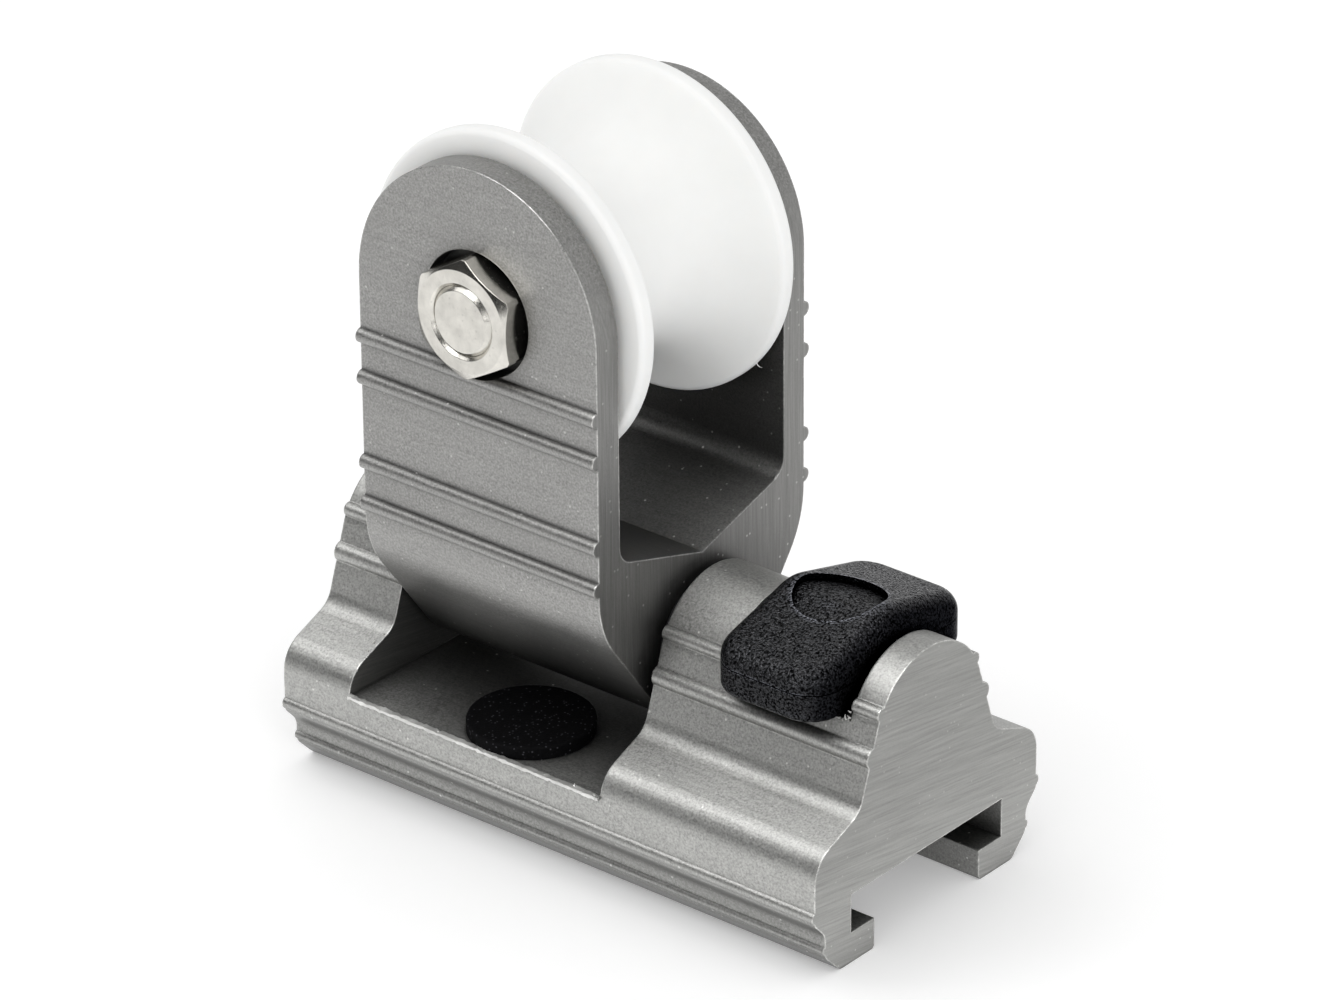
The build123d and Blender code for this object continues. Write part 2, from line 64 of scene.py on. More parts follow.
class GenoaCarMetal(PropertyGroup):
    """Finishes of the extruded and turned metal."""

    body_colour: FloatVectorProperty(
        name="Body colour",
        description="Anodised colour of the slider body",
        subtype="COLOR",
        size=3,
        min=0.0,
        max=1.0,
        default=(0.365, 0.365, 0.353),
    )
    bracket_colour: FloatVectorProperty(
        name="Bracket colour",
        description="Anodised colour of the sheave bracket",
        subtype="COLOR",
        size=3,
        min=0.0,
        max=1.0,
        default=(0.288, 0.286, 0.278),
    )
    steel_colour: FloatVectorProperty(
        name="Polished steel colour",
        description="Colour of the sheave's bolt and nut",
        subtype="COLOR",
        size=3,
        min=0.0,
        max=1.0,
        default=(0.72, 0.70, 0.65),
    )
    bare_colour: FloatVectorProperty(
        name="Bare colour",
        description="Colour of the torn aluminium of the burrs",
        subtype="COLOR",
        size=3,
        min=0.0,
        max=1.0,
        default=(0.8, 0.8, 0.78),
    )
    turned_colour: FloatVectorProperty(
        name="Turned steel colour",
        description="Colour of the pins, the sleeve, the grub screw and the spring",
        subtype="COLOR",
        size=3,
        min=0.0,
        max=1.0,
        default=(0.46, 0.46, 0.45),
    )
    # The worn edges' width is also the width of their painted highlight
    edge_radius: FloatProperty(
        name="Worn edge width",
        description="How far wear reaches from an edge of the aluminium",
        subtype="DISTANCE",
        unit="LENGTH",
        min=0.0,
        default=0.26 * MM,
    )
    grain_size: FloatProperty(
        name="Grain size",
        description="Spacing of the fine blasted grain under the anodising",
        subtype="DISTANCE",
        unit="LENGTH",
        min=0.00001,
        default=0.25 * MM,
    )
    saw_line_spacing: FloatProperty(
        name="Saw line spacing",
        description="Spacing of the lines that sawing leaves on the end faces",
        subtype="DISTANCE",
        unit="LENGTH",
        min=0.00001,
        default=0.24 * MM,
    )
    saw_slant: FloatProperty(
        name="Saw slant",
        description="Turn of the saw lines on the slider's ends",
        subtype="ANGLE",
        unit="ROTATION",
        default=math.radians(8.5),
    )


class GenoaCarPlastic(PropertyGroup):
    """Finishes of the sheave, the knob, the pads and the hidden plastic pieces."""

    sheave_colour: FloatVectorProperty(
        name="Sheave colour",
        description="White acetal of the sheave",
        subtype="COLOR",
        size=3,
        min=0.0,
        max=1.0,
        default=(0.885, 0.888, 0.875),
    )
    knob_colour: FloatVectorProperty(
        name="Knob colour",
        description="Black plastic of the plunger's knob",
        subtype="COLOR",
        size=3,
        min=0.0,
        max=1.0,
        default=(0.0075, 0.0078, 0.009),
    )
    rubber_colour: FloatVectorProperty(
        name="Rubber colour",
        description="Black sheet rubber of the bump-stop pads",
        subtype="COLOR",
        size=3,
        min=0.0,
        max=1.0,
        default=(0.003, 0.003, 0.0034),
    )
    bush_colour: FloatVectorProperty(
        name="Bush colour",
        description="Black acetal of the pivot bushes and the plunger's guide",
        subtype="COLOR",
        size=3,
        min=0.0,
        max=1.0,
        default=(0.02, 0.02, 0.021),
    )
    washer_colour: FloatVectorProperty(
        name="Washer colour",
        description="Natural nylon of the thrust washers",
        subtype="COLOR",
        size=3,
        min=0.0,
        max=1.0,
        default=(0.74, 0.73, 0.68),
    )


class GenoaCarParts(PropertyGroup):
    """Sizes of the small parts that are modelled here."""

    spring_wire: FloatProperty(
        name="Spring wire",
        description="Diameter of the plunger spring's wire",
        subtype="DISTANCE",
        unit="LENGTH",
        min=0.0001,
        default=0.7 * MM,
    )
    spring_turns: IntProperty(
        name="Spring turns",
        description="Turns of the plunger's spring",
        min=2,
        default=3,
    )
    spring_keep: FloatProperty(
        name="Spring keep",
        description="Share of the spring's length that is left with the knob fully lifted",
        min=0.1,
        max=1.0,
        default=0.425,
    )
    burr_length: FloatProperty(
        name="Burr length",
        description="Length of the longest burr that the tools left",
        subtype="DISTANCE",
        unit="LENGTH",
        min=0.0001,
        default=0.9 * MM,
    )
    burr_width: FloatProperty(
        name="Burr width",
        description="Width of a burr at its root",
        subtype="DISTANCE",
        unit="LENGTH",
        min=0.00005,
        default=0.3 * MM,
    )


class GenoaCarStudio(PropertyGroup):
    """Camera, lamps and floor."""

    camera_place: FloatVectorProperty(
        name="Camera place",
        description="Where the camera stands",
        subtype="TRANSLATION",
        unit="LENGTH",
        size=3,
        default=(0.4551, -0.5442, 0.4051),
    )
    camera_azimuth: FloatProperty(
        name="Camera azimuth",
        description="Turn of the camera round the object from its near side",
        subtype="ANGLE",
        unit="ROTATION",
        default=math.radians(39.454),
    )
    camera_elevation: FloatProperty(
        name="Camera elevation",
        description="Height angle of the camera above the horizon",
        subtype="ANGLE",
        unit="ROTATION",
        default=math.radians(27.236),
    )
    camera_roll: FloatProperty(
        name="Camera roll",
        description="Tilt of the picture",
        subtype="ANGLE",
        unit="ROTATION",
        default=math.radians(-0.247),
    )
    camera_lens: FloatProperty(
        name="Camera lens",
        description="Focal length in millimetres on a 36 mm wide sensor",
        min=1.0,
        default=201.42,
    )
    camera_shift: FloatVectorProperty(
        name="Camera shift",
        description="Shift of the picture as a share of its width",
        size=2,
        default=(-0.0303, -0.0153),
    )
    floor_colour: FloatVectorProperty(
        name="Floor colour",
        description="Colour of the pale floor",
        subtype="COLOR",
        size=3,
        min=0.0,
        max=1.0,
        default=(0.92, 0.92, 0.92),
    )
    floor_size: FloatProperty(
        name="Floor size",
        description="Side of the square floor",
        subtype="DISTANCE",
        unit="LENGTH",
        default=8.0,
    )
    floor_glow: FloatProperty(
        name="Floor glow",
        description="Light that the floor adds where the camera or the metal sees it",
        min=0.0,
        max=1.0,
        default=0.2,
    )
    foot_glow: FloatProperty(
        name="Foot glow",
        description="Light that the metal sees on the floor round the object's foot",
        min=0.0,
        max=1.0,
        default=0.3,
    )
    sky_strength: FloatProperty(
        name="Sky strength",
        description="Strength of the even light from all round",
        min=0.0,
        default=0.8,
    )
    key_power: FloatProperty(
        name="Key power",
        description="Power of the big soft lamp above, in watts",
        min=0.0,
        default=1.2,
    )
    fill_power: FloatProperty(
        name="Fill power",
        description="Power of the soft lamp beside the camera, in watts",
        min=0.0,
        default=2.1,
    )
    card_levels: FloatVectorProperty(
        name="Card levels",
        description="Greys of the ring of cards in the reflections, on its near and its far side",
        size=2,
        min=0.0,
        max=1.0,
        default=(0.03, 0.7),
    )
    card_radius: FloatProperty(
        name="Card radius",
        description="Radius of the ring of cards",
        subtype="DISTANCE",
        unit="LENGTH",
        default=1.6,
    )
    apron_level: FloatProperty(
        name="Apron level",
        description="Grey of the card on the floor that the sawn ends reflect",
        min=0.0,
        max=1.0,
        default=0.72,
    )
    ceiling_level: FloatProperty(
        name="Ceiling level",
        description="Grey of the ceiling card that the metal reflects",
        min=0.0,
        max=1.0,
        default=0.35,
    )
    card_height: FloatProperty(
        name="Card height",
        description="Height of the ring of cards",
        subtype="DISTANCE",
        unit="LENGTH",
        default=1.7,
    )
    softbox_level: FloatProperty(
        name="Softbox level",
        description="Brightness of the overhead softbox where metal and plastic reflect it",
        min=0.0,
        default=5.4,
    )
    softbox_size: FloatProperty(
        name="Softbox size",
        description="Side of the overhead softbox",
        subtype="DISTANCE",
        unit="LENGTH",
        default=0.7,
    )
    softbox_place: FloatVectorProperty(
        name="Softbox place",
        description="Where the overhead softbox hangs",
        subtype="TRANSLATION",
        unit="LENGTH",
        size=3,
        default=(0.0, -0.3, 0.85),
    )


def fill_inputs(tree, node, inputs):
    """Fills a node's inputs with values or with links from other nodes."""
    for key, value in inputs.items():
        if isinstance(value, NodeSocket):
            tree.links.new(value, node.inputs[key])
        else:
            node.inputs[key].default_value = value


def add_node(tree, kind, inputs=None, **settings):
    """Adds a node, sets its settings, and fills its inputs."""
    node = tree.nodes.new(kind)
    for name, value in settings.items():
        setattr(node, name, value)
    fill_inputs(tree, node, inputs or {})
    return node


def math_node(tree, operation, first, second=0.0):
    """Output of a maths node."""
    return add_node(tree, "ShaderNodeMath", {0: first, 1: second}, operation=operation).outputs[0]


def product(tree, value, *others):
    """Output of maths nodes that multiply the values one after another."""
    for other in others:
        value = math_node(tree, "MULTIPLY", value, other)
    return value


def range_node(tree, value, low, high, new_low=0.0, new_high=1.0):
    """Output of a node that spreads value from one range to another, and stops at its ends."""
    limits = {"From Min": low, "From Max": high, "To Min": new_low, "To Max": new_high}
    return add_node(tree, "ShaderNodeMapRange", {"Value": value, **limits}).outputs["Result"]


def spread(tree, share, low, high):
    """Output that runs from low to high while the share runs from zero to one."""
    return range_node(tree, share, 0.0, 1.0, low, high)


def open_share(tree, distance, samples, inside=False):
    """Share of the space round a place that is open, or of its own body seen from inside."""
    inputs = {"Distance": distance}
    settings = {"samples": samples, "inside": inside}
    return add_node(tree, "ShaderNodeAmbientOcclusion", inputs, **settings).outputs["AO"]


def shade_of(colour, share):
    """Colour made darker or lighter by a share, and no brighter than white."""
    return tuple(min(1.0, share * value) for value in colour)


def mix_colour(tree, share, first, second, blend_type="MIX"):
    """Output of a node that mixes two colours."""
    node = add_node(tree, "ShaderNodeMix", data_type="RGBA", blend_type=blend_type)
    for key, value in (("Factor_Float", share), ("A_Color", first), ("B_Color", second)):
        socket = next(s for s in node.inputs if s.identifier == key)
        if isinstance(value, NodeSocket):
            tree.links.new(value, socket)
        else:
            socket.default_value = value if key == "Factor_Float" else (*value[:3], 1.0)
    return next(s for s in node.outputs if s.identifier == "Result_Color")


def start_group(name, inputs, outputs):
    """New shader node group with named sockets, with its input and output nodes."""
    tree = bpy.data.node_groups.new(name, "ShaderNodeTree")
    for label, kind, default in inputs:
        socket = tree.interface.new_socket(label, in_out="INPUT", socket_type=f"NodeSocket{kind}")
        socket.default_value = default
    for label, kind in outputs:
        tree.interface.new_socket(label, in_out="OUTPUT", socket_type=f"NodeSocket{kind}")
    return tree, tree.nodes.new("NodeGroupInput"), tree.nodes.new("NodeGroupOutput")


def place_group(tree, name, inputs):
    """Places a group in a material with its own values."""
    node = tree.nodes.new("ShaderNodeGroup")
    node.node_tree = bpy.data.node_groups[name]
    fill_inputs(tree, node, inputs)
    return node


def grain_value(tree, spacing, stretch=(1.0, 1.0, 1.0), slant=0.0, detail=3.0):
    """Value of the shared grain, with a spacing and a stretch of its own."""
    inputs = {"Spacing": spacing, "Stretch": stretch, "Slant": slant, "Detail": detail}
    return place_group(tree, "Surface Grain", inputs).outputs["Value"]


def build_grain_group():
    """Fine noise on the piece, stretched where its surface was drawn, sawn or brushed."""
    tree, entry, result = start_group(
        "Surface Grain",
        [
            ("Spacing", "Float", MM),
            ("Stretch", "Vector", (1, 1, 1)),
            ("Slant", "Float", 0.0),
            ("Detail", "Float", 3.0),
        ],
        [("Value", "Float")],
    )
    place = add_node(tree, "ShaderNodeTexCoord").outputs["Object"]
    slant = {"Vector": place, "Angle": entry.outputs["Slant"]}
    turned = add_node(tree, "ShaderNodeVectorRotate", slant, rotation_type="X_AXIS").outputs[0]
    factors = {0: turned, 1: entry.outputs["Stretch"]}
    stretched = add_node(tree, "ShaderNodeVectorMath", factors, operation="MULTIPLY").outputs[0]
    scale = math_node(tree, "DIVIDE", 1.0, entry.outputs["Spacing"])
    noise = add_node(
        tree,
        "ShaderNodeTexNoise",
        {"Vector": stretched, "Scale": scale, "Detail": entry.outputs["Detail"], "Roughness": 0.6},
    )
    # The noise seldom leaves its middle half, which is spread over the whole range
    value = range_node(tree, noise.outputs["Fac"], 0.25, 0.75)
    tree.links.new(value, result.inputs["Value"])


def build_edge_group():
    """Edges rubbed bright in patches, which also paints a highlight along them, with a normal that
    rounds them a little, and a mask of creases for painted shade.
    """
    tree, entry, result = start_group(
        "Worn Edges And Highlights",
        [("Radius", "Float", 0.2 * MM), ("Patch Size", "Float", MM), ("Wear", "Float", 0.5)],
        [("Mask", "Float"), ("Crevice Shade", "Float"), ("Normal", "Vector")],
    )
    rounded = add_node(
        tree, "ShaderNodeBevel", {"Radius": entry.outputs["Radius"]}, samples=6
    ).outputs["Normal"]
    flat = add_node(tree, "ShaderNodeNewGeometry").outputs["Normal"]
    match = add_node(
        tree, "ShaderNodeVectorMath", {0: rounded, 1: flat}, operation="DOT_PRODUCT"
    ).outputs["Value"]
    # Wear and the painted edge highlight start where the rounded normal leans by 4 degrees, and
    # are full at 20
    edge = range_node(tree, match, 0.997, 0.94)
    patches = grain_value(tree, entry.outputs["Patch Size"], detail=4.0)
    least_worn_or_lit = 0.25
    worn_and_lit_patches = range_node(tree, patches, 0.3, 0.7, least_worn_or_lit, 1.0)
    convex = range_node(tree, open_share(tree, 1.2 * MM, samples=6), 0.55, 0.9)
    mask = product(tree, edge, worn_and_lit_patches, convex, entry.outputs["Wear"])
    tree.links.new(mask, result.inputs["Mask"])
    # Painted shade in creases: a mask where little is open within half a millimetre
    crevice_shade = range_node(tree, open_share(tree, 0.45 * MM, samples=8), 0.9, 0.6)
    tree.links.new(crevice_shade, result.inputs["Crevice Shade"])
    tree.links.new(rounded, result.inputs["Normal"])


def build_cavity_group():
    """How open a place is: zero deep in a pocket or between the cheeks, one in the open."""
    tree, entry, result = start_group(
        "Openness",
        [("Reach", "Float", 14 * MM), ("Low", "Float", 0.12), ("High", "Float", 0.8)],
        [("Share", "Float")],
    )
    share = open_share(tree, entry.outputs["Reach"], samples=12)
    share = range_node(tree, share, entry.outputs["Low"], entry.outputs["High"])
    tree.links.new(share, result.inputs["Share"])


def build_facing_group():
    """How far the surface faces along the track and across it, whatever its pose."""
    tree, entry, result = start_group(
        "Facing",
        [("Reach", "Float", 0.9), ("Blend", "Float", 0.05)],
        [("Ends", "Float"), ("Sides", "Float")],
    )
    normal = add_node(tree, "ShaderNodeTexCoord").outputs["Normal"]
    parts = add_node(tree, "ShaderNodeSeparateXYZ", {"Vector": normal})
    full = math_node(tree, "ADD", entry.outputs["Reach"], entry.outputs["Blend"])
    for axis, label in (("X", "Ends"), ("Y", "Sides")):
        size = math_node(tree, "ABSOLUTE", parts.outputs[axis])
        share = range_node(tree, size, entry.outputs["Reach"], full)
        tree.links.new(share, result.inputs[label])


def build_speck_group():
    """Scattered small bright specks."""
    tree, entry, result = start_group(
        "Specks", [("Spacing", "Float", MM), ("Share", "Float", 0.1)], [("Mask", "Float")]
    )
    place = add_node(tree, "ShaderNodeTexCoord").outputs["Object"]
    scale = math_node(tree, "DIVIDE", 1.0, entry.outputs["Spacing"])
    cells = add_node(tree, "ShaderNodeTexVoronoi", {"Vector": place, "Scale": scale})
    # A speck fades from an eighth to a third of a cell away from its middle
    near = range_node(tree, cells.outputs["Distance"], 0.32, 0.12)
    chance = add_node(tree, "ShaderNodeSeparateColor", {"Color": cells.outputs["Color"]})
    picked = math_node(tree, "LESS_THAN", chance.outputs[0], entry.outputs["Share"])
    tree.links.new(product(tree, near, picked), result.inputs["Mask"])


def start_material(name):
    """New node material with its Principled shader."""
    material = bpy.data.materials.new(name)
    material.use_nodes = True
    shader = material.node_tree.nodes["Principled BSDF"]
    return material, material.node_tree, shader


def worn_edges_and_highlights(tree, radius, patch_size, wear):
    """Node that gives the mask of worn edges with their painted highlight, the mask of creases for
    painted shade, and the rounded normal.
    """
    inputs = {"Radius": radius, "Patch Size": patch_size, "Wear": wear}
    return place_group(tree, "Worn Edges And Highlights", inputs)


def openness_share(tree, reach, low, high):
    """Zero where a place is as closed as the low level, one from the high level on."""
    inputs = {"Reach": reach, "Low": low, "High": high}
    return place_group(tree, "Openness", inputs).outputs["Share"]


def facing_share(tree, side, reach, blend=0.05):
    """How far the surface faces the ends of the track or its sides."""
    return place_group(tree, "Facing", {"Reach": reach, "Blend": blend}).outputs[side]


def speck_mask(tree, spacing, share):
    """Mask of the shared specks, of which only a share shows."""
    return place_group(tree, "Specks", {"Spacing": spacing, "Share": share}).outputs["Mask"]


def set_bump(tree, shader, height, distance, normal=None):
    """Feeds the shader's Normal with a bump."""
    inputs = {"Height": height, "Distance": distance}
    if normal is not None:
        inputs["Normal"] = normal
    bump = add_node(tree, "ShaderNodeBump", inputs)
    tree.links.new(bump.outputs["Normal"], shader.inputs["Normal"])


def anodised_aluminium(name, colour, metal, hollow_shade, saw_stretch, saw_slant):
    """Satin anodised extrusion: blasted grain, die lines, sawn ends, rubbed edges with a painted
    highlight, and painted shade in creases and hollows.

    The tuple for the hollows holds how far the painted shade of a hollow reaches, the openness at
    which it is full and at which it is gone, and what is left of the colour where it is full."""
    material, tree, shader = start_material(name)
    reach, closed, opened, left_in_hollow = hollow_shade
    valley, line_valley, crest = (shade_of(colour, share) for share in (0.5, 0.8, 1.6))
    rubbed_and_highlit, crevice_shade = (shade_of(colour, share) for share in (2.6, 0.3))
    drift_strength, even_ends, crevice_shade_strength, speck_strength = 0.35, 0.6, 0.65, 0.5
    line_strength_drawn, line_strength_sawn, line_height = 0.2, 0.55, 1.1
    smoother_when_rubbed = -0.2

    grain = grain_value(tree, metal.grain_size, detail=2.0)
    drift = grain_value(tree, 9 * MM)
    drawn = grain_value(tree, 0.5 * MM, stretch=(0.05, 1.0, 1.0))
    sawn = grain_value(tree, metal.saw_line_spacing, saw_stretch, saw_slant, detail=4.0)
    ends = facing_share(tree, "Ends", 0.9)
    edges = worn_edges_and_highlights(tree, metal.edge_radius, patch_size=0.7 * MM, wear=0.9)
    specks = speck_mask(tree, 0.55 * MM, share=0.025)
    lines = add_node(tree, "ShaderNodeMix", {"Factor": ends, "A": drawn, "B": sawn}).outputs[0]

    tone = mix_colour(tree, grain, valley, crest)
    tone = mix_colour(tree, product(tree, drift, drift_strength), tone, colour)
    tone = mix_colour(tree, product(tree, ends, even_ends), tone, colour)
    line_tone = mix_colour(tree, lines, line_valley, crest)
    line_share = spread(tree, ends, line_strength_drawn, line_strength_sawn)
    tone = mix_colour(tree, line_share, tone, line_tone)
    # Rubbed edges: worn patches made lighter, which also paints the highlight along the edges
    tone = mix_colour(tree, edges.outputs["Mask"], tone, rubbed_and_highlit)
    # Painted shade: creases darkened towards a third of the colour
    in_crevice = product(tree, edges.outputs["Crevice Shade"], crevice_shade_strength)
    tone = mix_colour(tree, in_crevice, tone, crevice_shade)
    # Painted shade: the colour is darkened where a place is closed in, as in the pockets and
    # between the cheeks
    openness = openness_share(tree, reach, closed, opened)
    tone = mix_colour(tree, 1.0, tone, spread(tree, openness, left_in_hollow, 1.0), "MULTIPLY")
    tone = mix_colour(tree, product(tree, specks, speck_strength), tone, rubbed_and_highlit)

    polish = product(tree, edges.outputs["Mask"], smoother_when_rubbed)
    rough = math_node(tree, "ADD", spread(tree, grain, 0.38, 0.52), polish)
    fill_inputs(tree, shader, {"Base Color": tone, "Metallic": 0.9, "Roughness": rough})
    height = math_node(tree, "ADD", grain, product(tree, lines, line_height))
    set_bump(tree, shader, height, 0.009 * MM, edges.outputs["Normal"])
    return material


def polished_steel(name, colour, roughness=0.13):
    """Bright stainless steel with fine scratches and small pits."""
    material, tree, shader = start_material(name)
    pit_strength, scratch_roughness = 0.35, 0.16
    drift = grain_value(tree, 2.2 * MM)
    scratch = grain_value(tree, 0.12 * MM, stretch=(1.0, 1.0, 0.12), detail=4.0)
    pits = speck_mask(tree, 0.45 * MM, share=0.16)
    edges = worn_edges_and_highlights(tree, 0.12 * MM, patch_size=MM, wear=0.3)
    tone = mix_colour(tree, drift, shade_of(colour, 0.7), colour)
    tone = mix_colour(tree, product(tree, pits, pit_strength), tone, shade_of(colour, 0.35))
    rough = spread(tree, scratch, roughness, roughness + scratch_roughness)
    fill_inputs(tree, shader, {"Base Color": tone, "Metallic": 1.0, "Roughness": rough})
    set_bump(tree, shader, scratch, 0.0025 * MM, edges.outputs["Normal"])
    return material


def turned_steel(name, colour, stretch):
    """Stainless steel off the lathe, with fine rings or draw lines."""
    material, tree, shader = start_material(name)
    drift_strength = 0.3
    lines = grain_value(tree, 0.3 * MM, stretch)
    drift = grain_value(tree, 3 * MM)
    edges = worn_edges_and_highlights(tree, 0.1 * MM, patch_size=MM, wear=0.4)
    tone = mix_colour(tree, lines, shade_of(colour, 0.8), colour)
    tone = mix_colour(tree, product(tree, drift, drift_strength), tone, colour)
    rough = spread(tree, lines, 0.24, 0.38)
    fill_inputs(tree, shader, {"Base Color": tone, "Metallic": 1.0, "Roughness": rough})
    set_bump(tree, shader, lines, 0.004 * MM, edges.outputs["Normal"])
    return material


def white_acetal(name, colour):
    """Turned white acetal, smooth, with a soft sheen and hardly any marks."""
    material, tree, shader = start_material(name)
    drift = grain_value(tree, 6 * MM)
    rings = grain_value(tree, 0.25 * MM, stretch=(0.06, 1.0, 0.06), detail=2.0)
    settings = {
        "Base Color": mix_colour(tree, drift, shade_of(colour, 0.97), colour),
        "Roughness": spread(tree, drift, 0.55, 0.64),
        "Specular IOR Level": 0.15,
        "Subsurface Weight": 0.6,
        "Subsurface Radius": (1.0, 0.96, 0.92),
        "Subsurface Scale": 2.5 * MM,
    }
    fill_inputs(tree, shader, settings)
    set_bump(tree, shader, rings, 0.0012 * MM)
    return material


def moulded_plastic(name, colour, grain_depth):
    """Black moulded plastic with a leathery spark-eroded texture and a painted highlight on its
    folds.

    The share of metal takes the plain reflection away from the grain's valleys, and as painted
    shade from hollows, the ends and the sides; the colour of hollows is darkened too as painted
    shade."""
    material, tree, shader = start_material(name)
    speck_strength, speck_colour = 0.35, (0.1, 0.1, 0.11)
    # Plain reflection left on the ends and the sides, where shade is painted
    shaded_ends_reflection, shaded_sides_reflection = 0.05, 0.6
    grain = grain_value(tree, 0.27 * MM, detail=1.0)
    drift = grain_value(tree, 5 * MM)
    specks = speck_mask(tree, 0.32 * MM, share=0.35)
    ends = facing_share(tree, "Ends", 0.2, 0.6)
    sides = facing_share(tree, "Sides", 0.86, 0.1)
    openness = openness_share(tree, 3.5 * MM, 0.42, 0.85)
    # Seen from inside, the body is closed in along its folds
    folds = range_node(tree, open_share(tree, 2.2 * MM, samples=8, inside=True), 0.7, 0.45)
    crests = range_node(tree, grain, 0.3, 0.65)

    tone = mix_colour(tree, crests, shade_of(colour, 0.1), shade_of(colour, 2.2))
    tone = mix_colour(tree, product(tree, specks, speck_strength), tone, speck_colour)
    # Painted highlight: the grain's crests on the folds are painted bright, except on the ends
    glints = product(tree, folds, crests, spread(tree, ends, 1.0, 0.0))
    tone = mix_colour(tree, glints, tone, shade_of(colour, 26.0))
    # Painted shade: the plain reflection is taken away in hollows, on the ends and on the sides
    reflection_left = product(
        tree,
        range_node(tree, grain, 0.15, 0.7),
        openness,
        spread(tree, ends, 1.0, shaded_ends_reflection),
        spread(tree, sides, 1.0, shaded_sides_reflection),
    )
    settings = {
        # Painted shade: the colour is darkened in hollows
        "Base Color": mix_colour(tree, 1.0, tone, openness, "MULTIPLY"),
        "Metallic": math_node(tree, "SUBTRACT", 1.0, reflection_left),
        "Roughness": spread(tree, drift, 0.2, 0.27),
        "Specular IOR Level": 1.0,
        "Specular Tint": (0.42, 0.42, 0.43, 1.0),
    }
    fill_inputs(tree, shader, settings)
    set_bump(tree, shader, grain, grain_depth)
    return material


def turned_plastic(name, colour):
    """Turned plastic with faint rings."""
    material, tree, shader = start_material(name)
    rings = grain_value(tree, 0.3 * MM, stretch=(1.0, 0.1, 0.1), detail=2.0)
    drift = grain_value(tree, 4 * MM)
    tone = mix_colour(tree, drift, shade_of(colour, 0.85), colour)
    rough = spread(tree, rings, 0.36, 0.5)
    fill_inputs(tree, shader, {"Base Color": tone, "Roughness": rough})
    set_bump(tree, shader, rings, 0.004 * MM)
    return material


def sheet_rubber(name, colour):
    """Matt black rubber with a pebbled skin and a little dust."""
    material, tree, shader = start_material(name)
    dust_strength, dust_colour = 0.6, (0.08, 0.08, 0.09)
    pebbles = grain_value(tree, 0.35 * MM)
    dust = speck_mask(tree, 0.42 * MM, share=0.45)
    tone = mix_colour(tree, pebbles, shade_of(colour, 0.6), shade_of(colour, 1.6))
    settings = {
        "Base Color": mix_colour(tree, product(tree, dust, dust_strength), tone, dust_colour),
        "Roughness": spread(tree, pebbles, 0.62, 0.8),
        "Specular IOR Level": 0.04,
    }
    fill_inputs(tree, shader, settings)
    set_bump(tree, shader, pebbles, 0.03 * MM)
    return material


def dress(nodes, material):
    """Gives a finish to CAD nodes."""
    for node in nodes:
        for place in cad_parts[node].material_slots:
            place.material = material


class GENOA_OT_textures(Operator):
    """Build the node groups that the finishes share"""

    bl_idname = "genoa.textures"
    bl_label = "Shared Textures"

    def execute(self, context):
        build_grain_group()
        build_edge_group()
        build_cavity_group()
        build_facing_group()
        build_speck_group()
        return {"FINISHED"}


class GENOA_OT_extrusions(Operator):
    """Finish the slider body and the sheave bracket in satin anodised aluminium"""

    bl_idname = "genoa.extrusions"
    bl_label = "Extrusions"

    def execute(self, context):
        metal = context.scene.genoa_metal
        body = anodised_aluminium(
            "body_aluminium",
            metal.body_colour,
            metal,
            hollow_shade=(18 * MM, 0.12, 0.8, 0.2),
            saw_stretch=(1.0, 0.03, 1.0),
            saw_slant=metal.saw_slant,
        )
        dress(["slider_body"], body)
        bracket = anodised_aluminium(
            "bracket_aluminium",
            metal.bracket_colour,
            metal,
            hollow_shade=(34 * MM, 0.32, 0.92, 0.2),
            saw_stretch=(1.0, 1.0, 0.03),
            saw_slant=0.0,
        )
        dress(["sheave_bracket"], bracket)
        return {"FINISHED"}


class GENOA_OT_fasteners(Operator):
    """Finish the bolt, the nut, the pins, the sleeve and the grub screw"""

    bl_idname = "genoa.fasteners"
    bl_label = "Fasteners"

    def execute(self, context):
        metal = context.scene.genoa_metal
        polished = polished_steel("polished_stainless", metal.steel_colour)
        dress(["sheave_bolt", "sheave_nut"], polished)
        for nodes, name, stretch in (
            (["pivot_pin"], "pivot_pin_stainless", (1.0, 0.1, 0.1)),
            (["plunger_pin", "pivot_grub_screw"], "plunger_pin_stainless", (0.1, 0.1, 1.0)),
            (["sheave_sleeve"], "sleeve_stainless", (0.1, 1.0, 0.1)),
            (["plunger_spring"], "spring_stainless", (0.2, 0.2, 1.0)),
        ):
            dress(nodes, turned_steel(name, metal.turned_colour, stretch))
        return {"FINISHED"}


